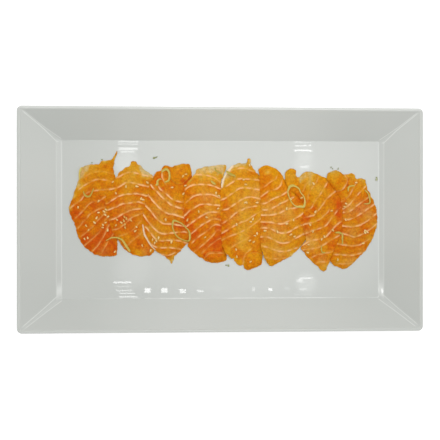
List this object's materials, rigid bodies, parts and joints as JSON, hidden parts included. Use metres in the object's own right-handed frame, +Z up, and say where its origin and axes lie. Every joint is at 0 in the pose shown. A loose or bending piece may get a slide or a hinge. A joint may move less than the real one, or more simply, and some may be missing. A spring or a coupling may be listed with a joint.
{
  "type": "plated salmon carpaccio",
  "caption": "Thin overlapping slices of raw salmon in a row on a long white porcelain platter, with thin rings and strips of spring onion on top.",
  "frame": {"origin": "centre of the platter's footprint, on the surface that it stands on", "axes": "+X along the platter's length, +Y across it, +Z up"},
  "size_m": [0.397, 0.22, 0.024],
  "materials": {
    "porcelain": "gloss",
    "salmon": "satin",
    "spring_onion": "satin",
    "sesame": "matte",
    "herb": "matte"
  },
  "bodies": {
    "root": {"platter": "porcelain", "slice_1": "salmon", "slice_2": "salmon", "slice_3": "salmon", "slice_4": "salmon", "slice_5": "salmon", "slice_6": "salmon", "slice_7": "salmon", "slice_8": "salmon", "onion_ring_middle": "spring_onion", "onion_ring_right": "spring_onion", "onion_strip_1": "spring_onion", "onion_strip_2": "spring_onion", "onion_strip_3": "spring_onion", "onion_strip_4": "spring_onion", "onion_strip_5": "spring_onion", "onion_strip_6": "spring_onion", "onion_strip_7": "spring_onion", "onion_strip_8": "spring_onion", "onion_strip_9": "spring_onion", "onion_strip_10": "spring_onion", "onion_strip_11": "spring_onion", "onion_strip_12": "spring_onion"}
  },
  "joints": []
}
